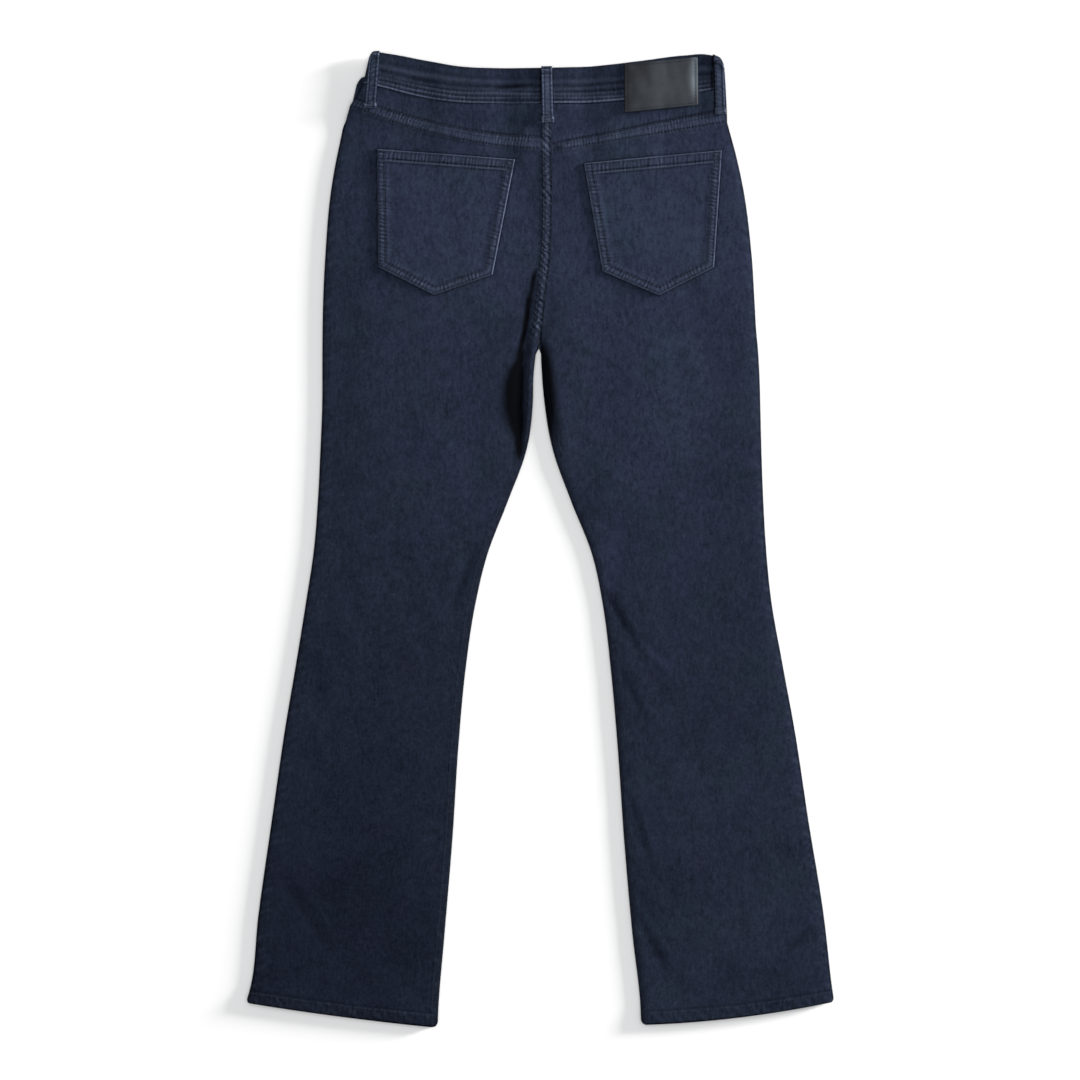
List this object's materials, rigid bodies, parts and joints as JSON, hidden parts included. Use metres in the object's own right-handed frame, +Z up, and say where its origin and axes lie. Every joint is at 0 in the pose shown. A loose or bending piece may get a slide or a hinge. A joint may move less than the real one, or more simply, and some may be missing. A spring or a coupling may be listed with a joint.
{
  "type": "bootcut jeans",
  "caption": "Bootcut jeans laid flat with the back up: dark indigo stretch denim, back yoke and pockets, belt loops, plain leather patch.",
  "frame": {"origin": "middle of the bounding box at the surface that the jeans lie on", "axes": "+X to the wearer's right, +Y from the hems to the waist, +Z up from the surface, out of the back of the jeans"},
  "size_m": [0.682, 1.1308, 0.012],
  "materials": {
    "denim_back": "dark indigo stretch twill, softly faded, matt",
    "denim_front": "dark indigo stretch twill, matt",
    "denim_band": "dark indigo stretch twill, stitched, worn along its edges",
    "patch_leather": "dark grey leather, smooth, semi-gloss",
    "button_metal": "antique brass, satin"
  },
  "bodies": {
    "root": {"front_panel_left": "denim_front", "front_panel_right": "denim_front", "pocket_facing_left": "denim_front", "pocket_facing_right": "denim_front", "fly_underlap": "denim_front", "waistband_front_left": "denim_band", "waistband_front_right": "denim_band", "waistband_back": "denim_band", "waist_button": "button_metal", "belt_loop_front_left": "denim_band", "belt_loop_front_right": "denim_band", "back_panel_left": "denim_back", "back_panel_right": "denim_back", "yoke_left": "denim_back", "yoke_right": "denim_back", "back_pocket_left": "denim_back", "back_pocket_right": "denim_back", "leather_patch": "patch_leather", "belt_loop_centre": "denim_band", "belt_loop_back_left": "denim_band", "belt_loop_back_right": "denim_band"}
  },
  "joints": []
}
